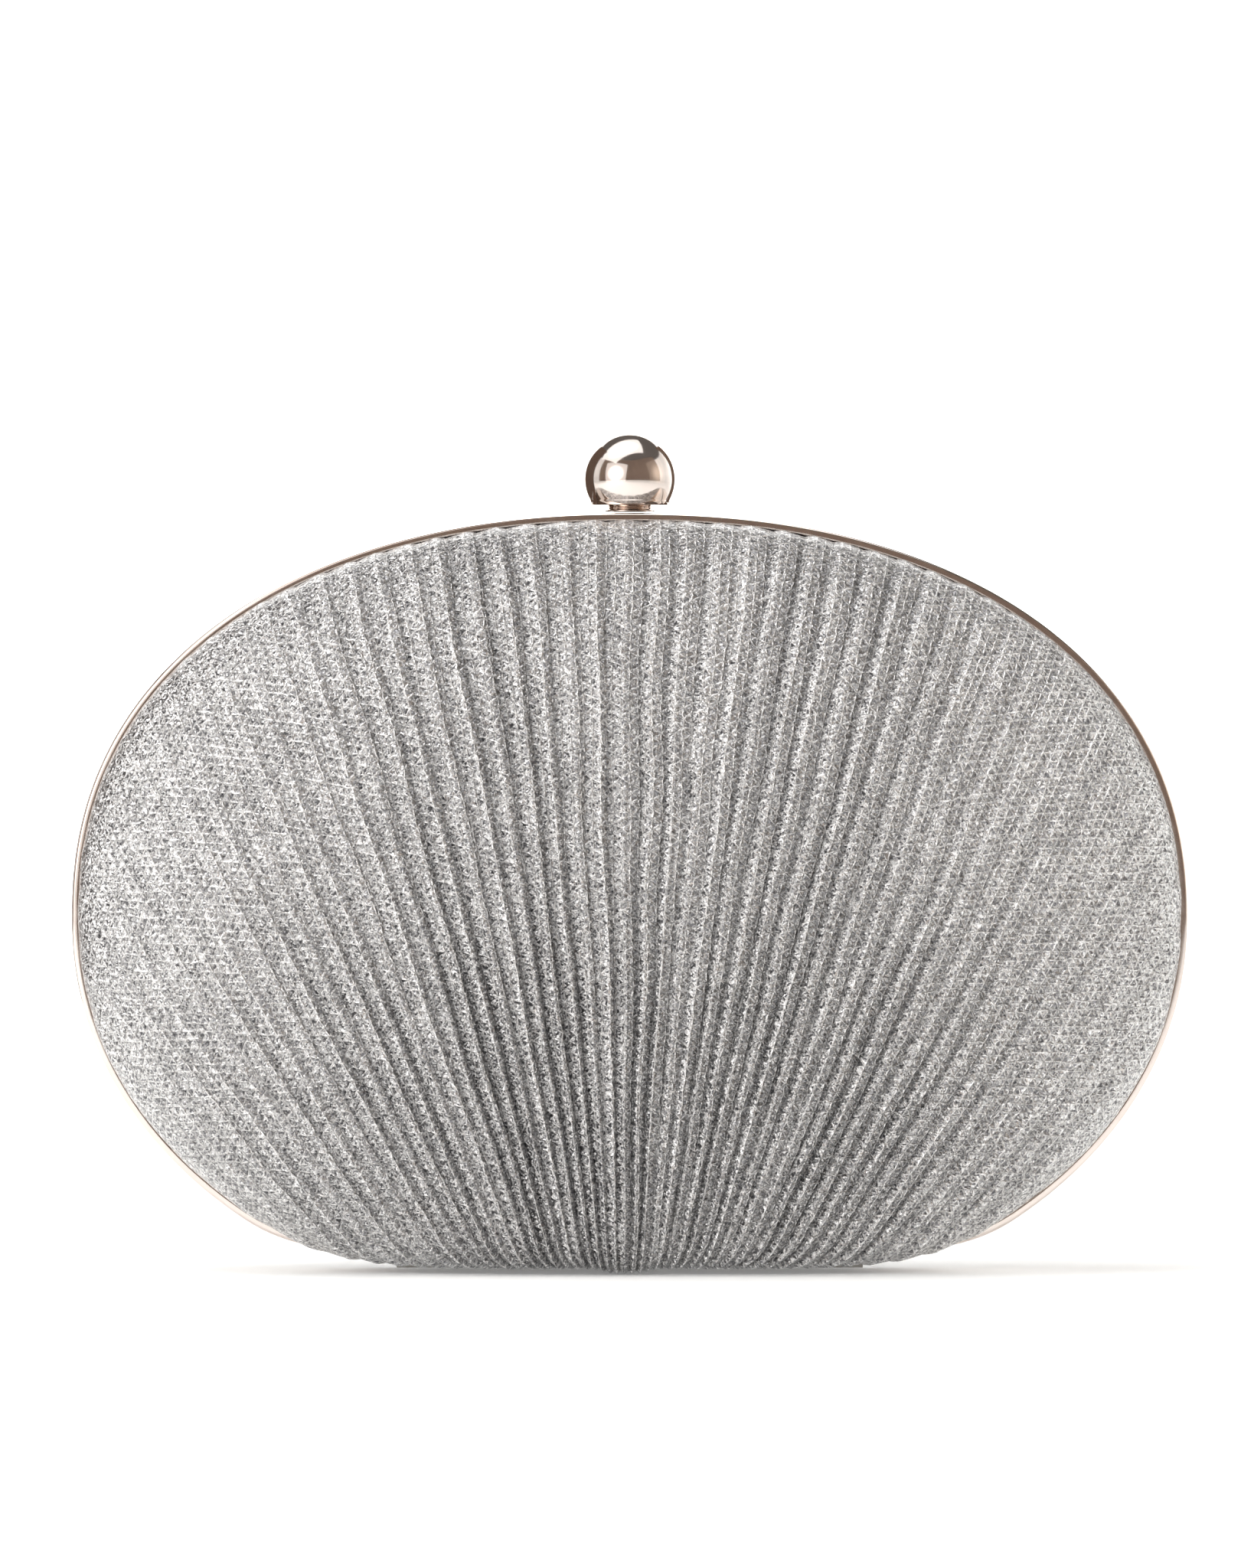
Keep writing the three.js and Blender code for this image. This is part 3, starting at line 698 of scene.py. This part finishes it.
def spun_polyester():
    """Spun polyester sewing thread, two plies: matt, with its twist showing about every 0.5 mm."""
    material, shader = start_material("spun_polyester_thread", Roughness=0.7, Sheen_Weight=0.2)
    place = node(material, "ShaderNodeTexCoord").outputs["Object"]
    turns = {"Vector": place, "Scale": 1 / (0.5 * MM) / 20}
    twist = node(material, "ShaderNodeTexWave", turns, bands_direction="DIAGONAL")
    tone = node(material, "ShaderNodeValToRGB", {"Fac": twist.outputs["Fac"]})
    tone.color_ramp.elements[0].color = linear("#8d8885")
    tone.color_ramp.elements[1].color = linear("#b4afab")
    bump = node(material, "ShaderNodeBump", {"Height": twist.outputs["Fac"], "Distance": 0.06 * MM})
    feed(material, shader, Base_Color=tone.outputs["Color"], Normal=bump.outputs["Normal"])
    return material


pocket = pocket_strip("slip_pocket_panel", pocket_low[2] + 0.3, POCKET_TOP, 60, 0.3, 0)
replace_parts(pocket, "slip_pocket")
hem = pocket_strip("slip_pocket_hem", POCKET_TOP - HEM_DEPTH, POCKET_TOP, 7, 0.28, 0.28)
stitch_z = POCKET_TOP - HEM_DEPTH + 1
reach = pocket_half_width(stitch_z) - 2
run = np.linspace(-reach, reach, int(2 * reach / STITCH_PITCH) * 12)
over = 0.16 * np.tanh(2 * np.cos(2 * np.pi * run / STITCH_PITCH)) + 0.1
face_y = pocket_y(run / pocket_half_width(stitch_z), stitch_z) - 0.42
row = tube("slip_pocket_stitches", np.stack([run, face_y - over, stitch_z + 0 * run], axis=-1), 0.17, 6)
row.data.materials.append(spun_polyester())
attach(row, "rear_half")


# Frame: two half frames of 0.9 mm steel channel, rolled to the outline, brazed and polished, then plated pale
# nickel-gold. The lip in front holds the cover, and the flange behind it meets the other half.

FRAME_BACK = [[1.6, 4.5], [0.9, 4.5], [0.9, 1.1], [2.8, 1.1], [2.8, 0.2], [0, 0.2]]
lip_turn = np.linspace(0, np.pi / 2, 6)
lip_corner = np.stack([0.65 * (1 - np.cos(lip_turn)), 4.75 + 0.65 * np.sin(lip_turn)], axis=-1)
FRAME_SECTION = np.concatenate([lip_corner, [[1.42, 5.4], [1.6, 5.25]], FRAME_BACK])


def frame_band(side, around=384):
    """The channel's section carried round the rim outline: each section point is an inset and a depth."""
    turn = np.linspace(0, 2 * np.pi, around, endpoint=False)[None, :]
    inset = FRAME_SECTION[:, :1]
    x, z = rim(turn, inset)
    y = side * FRAME_SECTION[:, 1:] + 0 * x
    return np.stack([x, y, flatten(z, FRAME_FLOOR + inset)], axis=-1)


def soften(piece, width, segments=3):
    """Rounds the edges sharper than 30 degrees with a bevel of this width in mm."""
    bevel = piece.modifiers.new("rounded_edges", "BEVEL")
    bevel.width = width * MM
    bevel.segments = segments
    bevel.limit_method = "ANGLE"
    bevel.angle_limit = math.radians(30)
    bevel.harden_normals = False
    return piece


def plated_nickel_gold():
    """Polished zinc plated pale nickel-gold: a warm, slightly rosy mirror with a trace of polishing haze."""
    material, shader = start_material("nickel_gold_plating_polished", Metallic=1.0)
    place = node(material, "ShaderNodeTexCoord").outputs["Object"]
    haze = node(material, "ShaderNodeTexNoise", {"Vector": place, "Scale": 1 / (6 * MM), "Detail": 3.0})
    gloss = node(
        material,
        "ShaderNodeMapRange",
        {"Value": haze.outputs["Fac"], "From Min": 0.3, "From Max": 0.7, "To Min": 0.06, "To Max": 0.12},
    )
    tone = node(material, "ShaderNodeValToRGB", {"Fac": haze.outputs["Fac"]})
    tone.color_ramp.elements[0].color = linear("#e2d6ce")
    tone.color_ramp.elements[1].color = linear("#ece2db")
    feed(material, shader, Base_Color=tone.outputs["Color"], Roughness=gloss.outputs["Result"])
    return material


def lever_slot(piece):
    """Cuts the slot that the latch lever passes through in the top of the rear frame, with rounded ends."""
    turn = np.linspace(0, 2 * np.pi, 32, endpoint=False)
    power = 2 / 8
    x = 3.2 * np.sign(np.cos(turn)) * np.abs(np.cos(turn)) ** power
    y = 3.15 + 1.65 * np.sign(np.sin(turn)) * np.abs(np.sin(turn)) ** power
    outline = np.stack([x, y, 0 * x], axis=-1)
    middle = outline.mean(axis=0) + 0 * outline
    levels = ((middle, RIM_TOP - 3), (outline, RIM_TOP - 3), (outline, RIM_TOP + 1), (middle, RIM_TOP + 1))
    cutter = close_up(skin("slot_cutter", np.stack([ring + [0, 0, z] for ring, z in levels]), around=True))
    cut = piece.modifiers.new("lever_slot", "BOOLEAN")
    cut.object = cutter
    cut.solver = "EXACT"
    finished = piece.evaluated_get(bpy.context.evaluated_depsgraph_get())
    mesh = bpy.data.meshes.new_from_object(finished)
    piece.modifiers.remove(cut)
    piece.data = mesh
    bpy.data.objects.remove(cutter)


plating = plated_nickel_gold()
for half, side in (("front", -1), ("rear", 1)):
    band = close_up(skin(f"{half}_rim_frame", frame_band(side), around=True, along=True))
    if half == "rear":
        lever_slot(band)
    soften(band, 0.22)
    band.data.materials.append(plating)
    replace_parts(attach(band, f"{half}_half"), f"{half}_frame")


# Hinge: two nickelled steel leaves with rolled knuckles that mesh along the base, on one pin, each leaf
# riveted to its half's frame and shell by three rivets.


def bright_steel():
    """Cold rolled steel, stamped and barrel nickelled: bright with fine rubbed lines about 0.25 mm apart."""
    material, shader = start_material("nickelled_steel_barrel_finished", Metallic=1.0)
    place = node(material, "ShaderNodeTexCoord").outputs["Object"]
    drawn = node(material, "ShaderNodeMapping", {"Vector": place, "Scale": (0.06, 1.0, 1.0)})
    lines = node(material, "ShaderNodeTexNoise", {"Vector": drawn, "Scale": 1 / (0.25 * MM), "Detail": 3.0})
    handled = node(material, "ShaderNodeTexNoise", {"Vector": place, "Scale": 1 / (5 * MM), "Detail": 2.0})
    tone = node(material, "ShaderNodeValToRGB", {"Fac": handled.outputs["Fac"]})
    tone.color_ramp.elements[0].color = linear("#b3aea8")
    tone.color_ramp.elements[1].color = linear("#cdc9c4")
    ends = {"From Min": 0.3, "From Max": 0.7, "To Min": 0.22, "To Max": 0.36}
    gloss = node(material, "ShaderNodeMapRange", {"Value": lines.outputs["Fac"]} | ends)
    bump = node(material, "ShaderNodeBump", {"Height": lines.outputs["Fac"], "Distance": 0.01 * MM})
    feed(material, shader, Base_Color=tone.outputs["Color"], Roughness=gloss.outputs["Result"])
    feed(material, shader, Normal=bump.outputs["Normal"])
    return material


def stamped(node_name, name, body, width=0.12):
    """A copy of a CAD node with its triangles merged into flat faces and its edges rounded as stamping leaves
    them. With no body it is left unattached."""
    work = bmesh.new()
    work.from_mesh(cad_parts[node_name].data)
    bmesh.ops.remove_doubles(work, verts=work.verts, dist=1e-7)
    bmesh.ops.dissolve_limit(work, angle_limit=math.radians(1), verts=work.verts, edges=work.edges)
    mesh = bpy.data.meshes.new(name)
    work.to_mesh(mesh)
    work.free()
    mesh.materials.clear()
    mesh.materials.append(steel)
    mesh.polygons.foreach_set("material_index", np.zeros(len(mesh.polygons), dtype=np.int32))
    mesh.polygons.foreach_set("use_smooth", np.ones(len(mesh.polygons), dtype=bool))
    piece = bpy.data.objects.new(name, mesh)
    bpy.context.scene.collection.objects.link(piece)
    soften(piece, width, 2)
    mesh.set_sharp_from_angle(angle=math.radians(32))
    if body:
        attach(piece, body)
    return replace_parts(piece, node_name)


def spun_metal(node_name, name, body, profile, axis):
    """Replaces a pin or rivet: a profile of radius and distance along the node's axis from its lower end."""
    low, high = (np.array(corner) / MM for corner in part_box(node_name))
    centre = (low + high) / 2
    turn = np.linspace(0, 2 * np.pi, 32, endpoint=False)[None, :]
    radius, along = profile[:, :1], profile[:, 1:] + low[axis]
    others = [k for k in range(3) if k != axis]
    points = np.zeros((len(profile), 32, 3))
    points[..., axis] = along
    points[..., others[0]] = centre[others[0]] + radius * np.cos(turn)
    points[..., others[1]] = centre[others[1]] + radius * np.sin(turn)
    piece = close_up(skin(name, points, around=True))
    piece.data.set_sharp_from_angle(angle=math.radians(40))
    piece.data.materials.append(steel)
    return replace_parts(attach(piece, body), node_name)


def pin_profile(radius, length, groove=0.12):
    """A turned pin with rounded ends and a slim groove behind each end."""
    rounded = [[0, 0], [radius - 0.25, 0], [radius - 0.08, 0.08], [radius, 0.25]]
    end = [*rounded, [radius, 0.8], [radius - groove, 0.9]]
    end = np.array(end + [[radius - groove, 1.1], [radius, 1.2]])
    return np.concatenate([end, end[::-1] * [1, -1] + [0, length]])


def rivet_profile(head, shank, length, head_height=0.6):
    """A domed head, a straight shank and a lightly upset end."""
    arc = np.linspace(0, np.pi / 2, 7)
    dome = np.stack([head * np.sin(arc), head_height * 0.8 * (1 - np.cos(arc))], axis=-1)
    return np.concatenate(
        [
            dome,
            [[head, head_height], [shank, head_height]],
            [[shank, length - 0.15], [shank - 0.15, length], [0, length]],
        ]
    )


steel = bright_steel()
stamped("rear_hinge_leaf", "rear_hinge_leaf_stamped", "rear_half")
stamped("front_hinge_leaf", "front_hinge_leaf_stamped", "front_half")
pin_low, pin_high = (np.array(corner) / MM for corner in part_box("hinge_pin"))
hinge_profile = pin_profile((pin_high[2] - pin_low[2]) / 2, pin_high[0] - pin_low[0])
spun_metal("hinge_pin", "hinge_pin_turned", "rear_half", hinge_profile, 0)

low, high = (np.array(corner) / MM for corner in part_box("rear_hinge_rivet_1"))
HEAD_RADIUS, RIVET_LENGTH, SHANK_RADIUS = (high[0] - low[0]) / 2, high[2] - low[2], 0.6
domed = rivet_profile(HEAD_RADIUS, SHANK_RADIUS, RIVET_LENGTH)
for half in ("front", "rear"):
    for number in (1, 2, 3):
        place = f"{half}_hinge_rivet_{number}"
        spun_metal(place, f"{place}_domed", f"{half}_half", domed, 2)


# Latch: a stamped lever under the ball tilts on a pin between the cheeks of a bracket riveted inside the rear
# frame. A leaf spring holds it upright, and its hook catches the window of a plate riveted inside the front
# frame.

stamped("latch_bracket", "latch_bracket_stamped", "rear_half")
low, high = (np.array(corner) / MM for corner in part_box("latch_pivot_pin"))
pivot_profile = pin_profile((high[2] - low[2]) / 2, high[0] - low[0], 0.06)
spun_metal("latch_pivot_pin", "latch_pivot_pin_turned", "rear_half", pivot_profile, 0)
stamped("latch_lever", "latch_lever_stamped", "latch")
spring = stamped("latch_spring", "latch_leaf_spring", None, 0.05)
low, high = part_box("latch_spring")
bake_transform(spring)
stamped("catch_plate", "catch_plate_stamped", "front_half")
for place, body in (("bracket", "rear_half"), ("catch", "front_half")):
    for number in (1, 2):
        name = f"{place}_rivet_{number}"
        spun_metal(name, f"{name}_domed", body, domed, 2)


# Clasp ball: a cast ball, polished and plated like the frame, cut flat underneath and screwed down on its
# neck. The neck is a turned collar with a thin flange at its foot.


def turned(name, profile, centre, around=96):
    """A profile of radius and height carried round an upright axis."""
    turn = np.linspace(0, 2 * np.pi, around, endpoint=False)[None, :]
    radius, height = profile[:, :1], profile[:, 1:]
    x, y = centre[0] + radius * np.cos(turn), centre[1] + radius * np.sin(turn)
    return close_up(skin(name, np.stack([x, y, height + 0 * x], axis=-1), around=True))


def ball_profile(radius, centre_z, cut_z, rounding=1.0):
    """From the middle of the flat underside, round its edge, and up the sphere to the top."""
    lowest = math.asin((cut_z - centre_z) / radius)
    rest = np.linspace(lowest + rounding / radius, np.pi / 2, 64)
    sphere = np.stack([radius * np.cos(rest), centre_z + radius * np.sin(rest)], axis=-1)
    flat = [[0, cut_z], [radius * math.cos(lowest) - rounding, cut_z], [sphere[0, 0] - 0.08, cut_z + 0.08]]
    sphere[-1, 0] = 0
    return np.concatenate([flat, sphere])


low, high = (corner / MM for corner in map(np.array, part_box("clasp_ball")))
ball_radius = (high[0] - low[0]) / 2
clasp_y = (low[1] + high[1]) / 2
ball = turned("clasp_ball_polished", ball_profile(ball_radius, high[2] - ball_radius, low[2]), (0, clasp_y))
ball.data.materials.append(plating)
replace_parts(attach(ball, "latch"), "clasp_ball")
ball_cut = low[2]

low, high = (corner / MM for corner in map(np.array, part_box("clasp_neck")))
neck_radius = high[0]
neck_profile = np.array(
    [
        [0, low[2] - 0.2],
        [neck_radius + 0.4, low[2] - 0.2],
        [neck_radius + 0.6, low[2] - 0.05],
        [neck_radius + 0.4, low[2] + 0.1],
        [neck_radius - 0.1, low[2] + 0.2],
        [neck_radius - 0.25, (low[2] + high[2]) / 2],
        [neck_radius - 0.1, ball_cut + 0.05],
        [0, ball_cut + 0.05],
    ]
)
neck = turned("clasp_neck_collar", neck_profile, (0, clasp_y))
neck.data.materials.append(plating)
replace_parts(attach(neck, "latch"), "clasp_neck")


# Studio: a white floor that curves up into a round wall, a large soft light on the left, a softer one above
# and a narrow strip on the right. Dark flags give the metal its dark edges: they act on reflections alone,
# and stay out of every picture.

FLOOR_RADIUS, WALL_RADIUS, WALL_HEIGHT = 2400.0, 3200.0, 2600.0
bend = np.linspace(0, np.pi / 2, 16)
bend_radius = WALL_RADIUS - FLOOR_RADIUS
stage_profile = np.concatenate(
    [
        [[0, 0], [400, 0], [1400, 0]],
        np.stack([FLOOR_RADIUS + bend_radius * np.sin(bend), bend_radius * (1 - np.cos(bend))], axis=-1),
        [[WALL_RADIUS, WALL_HEIGHT]],
    ]
)
stage = turned("studio_floor", stage_profile, (0, 0), 128)
stage.data.flip_normals()


def opal_table():
    """Matt opal acrylic, lit softly from behind so that shadows on it stay faint, with a mottle about 40 mm
    across."""
    material, shader = start_material("opal_acrylic_matt_white", Roughness=0.9, Emission_Strength=0.15)
    shader.inputs["Emission Color"].default_value = linear("#ffffff")
    place = node(material, "ShaderNodeTexCoord").outputs["Object"]
    mottle = node(material, "ShaderNodeTexNoise", {"Vector": place, "Scale": 1 / (40 * MM)})
    tone = node(material, "ShaderNodeValToRGB", {"Fac": mottle.outputs["Fac"]})
    tone.color_ramp.elements[0].color = linear("#f6f6f5")
    tone.color_ramp.elements[1].color = linear("#fafaf9")
    feed(material, shader, Base_Color=tone.outputs["Color"])
    return material


stage.data.materials.append(opal_table())


def soft_light(name, place, aim, size, power, colour="#ffffff"):
    """A rectangular light at a place, turned to face a point, all in metres and watts. Its cloth is brightest
    behind the lamp, at the middle, and falls off to a fifth at the edges."""
    light = bpy.data.lights.new(name, "AREA")
    light.shape = "RECTANGLE"
    light.size, light.size_y = size
    light.energy = power
    light.color = linear(colour)[:3]
    light.use_nodes = True
    spot = node(light, "ShaderNodeNewGeometry").outputs["Parametric"]
    flat = node(light, "ShaderNodeVectorMath", {0: spot, 1: (1, 1, 0)}, operation="MULTIPLY")
    apart = node(light, "ShaderNodeVectorMath", {0: flat, 1: (0.5, 0.5, 0)}, operation="DISTANCE")
    away = apart.outputs["Value"]
    ends = {"From Min": 0.05, "From Max": 0.45, "To Min": 3.0, "To Max": 0.6}
    glow = node(light, "ShaderNodeMapRange", {"Value": away} | ends, interpolation_type="SMOOTHSTEP")
    light.node_tree.links.new(glow.outputs["Result"], light.node_tree.nodes["Emission"].inputs["Strength"])
    lamp = bpy.data.objects.new(name, light)
    lamp.location = place
    away = lamp.location - Vector(aim)
    lamp.rotation_euler = away.to_track_quat("Z", "Y").to_euler()
    lamp.visible_camera = False
    bpy.context.scene.collection.objects.link(lamp)
    return lamp


middle = (0.0, 0.0, 0.1)
soft_light("left_softbox", (-0.62, -0.85, 0.38), middle, (1.1, 1.0), 4.4)
soft_light("top_softbox", (-0.25, -0.1, 1.15), middle, (1.0, 1.5), 9.5)
soft_light("right_panel", (0.95, -0.25, 0.35), middle, (0.9, 1.0), 0.6, "#fff1e0")
soft_light("back_wall_light", (0.0, 1.2, 1.6), (0.0, 3.1, 0.5), (2.2, 0.8), 90)


def flag_cloth(name, dark, light):
    """Brushed cotton flag cloth: it swallows most light, with a faint nap about 3 mm across."""
    material, shader = start_material(name, Roughness=1.0, Specular_IOR_Level=0.0)
    place = node(material, "ShaderNodeTexCoord").outputs["Object"]
    nap = node(material, "ShaderNodeTexNoise", {"Vector": place, "Scale": 1 / (3 * MM)})
    tone = node(material, "ShaderNodeValToRGB", {"Fac": nap.outputs["Fac"]})
    tone.color_ramp.elements[0].color = linear(dark)
    tone.color_ramp.elements[1].color = linear(light)
    feed(material, shader, Base_Color=tone.outputs["Color"])
    return material


def curtain(name, start, end, height, bow):
    """An upright cloth between two points on the floor, bowed away from the straight line between them."""
    share = np.linspace(0, 1, 25)[:, None]
    start, end = np.array(start, float), np.array(end, float)
    across = np.array([end[1] - start[1], start[0] - end[0]]) / np.linalg.norm(end - start)
    foot = start + (end - start) * share + bow * 4 * share * (1 - share) * across
    foot = np.concatenate([foot, 0 * share], axis=-1)
    return skin(name, np.stack([foot, foot + [0, 0, height]]))


dark_cloth = flag_cloth("cotton_flag_dark_brown", "#54463e", "#615249")
pale_cloth = flag_cloth("cotton_flag_taupe", "#7d6e64", "#8a7a70")
flags = {
    "left_flag": ((-300, 60), (-300, 480), 520, 0, dark_cloth),
    "right_flag": ((300, 260), (300, 620), 520, 0, dark_cloth),
    "front_flag": ((2300, -300), (-2300, -300), 2400, -1900, pale_cloth),
}
for name, (*shape, cloth) in flags.items():
    flag = curtain(name, *shape)
    flag.data.materials.append(cloth)
    flag.visible_camera = flag.visible_diffuse = flag.visible_shadow = flag.visible_transmission = False

world = bpy.data.worlds.new("studio_air")
world.use_nodes = True
world.node_tree.nodes["Background"].inputs["Color"].default_value = linear("#d9d1cc")
world.node_tree.nodes["Background"].inputs["Strength"].default_value = 0.2
bpy.context.scene.world = world
bpy.context.scene.view_settings.view_transform = "Standard"

VIEW_HEIGHT = 0.296  # height that the picture takes in at the bag, in metres
CAMERA_DISTANCE = 1.5
camera = bpy.data.cameras.new("camera")
camera.lens = camera.sensor_width * CAMERA_DISTANCE / VIEW_HEIGHT
eye = bpy.data.objects.new("camera", camera)
eye.location = (-0.0005, -CAMERA_DISTANCE, 0.0918)
eye.rotation_euler = (math.pi / 2, 0, 0)
bpy.context.scene.collection.objects.link(eye)
bpy.context.scene.camera = eye
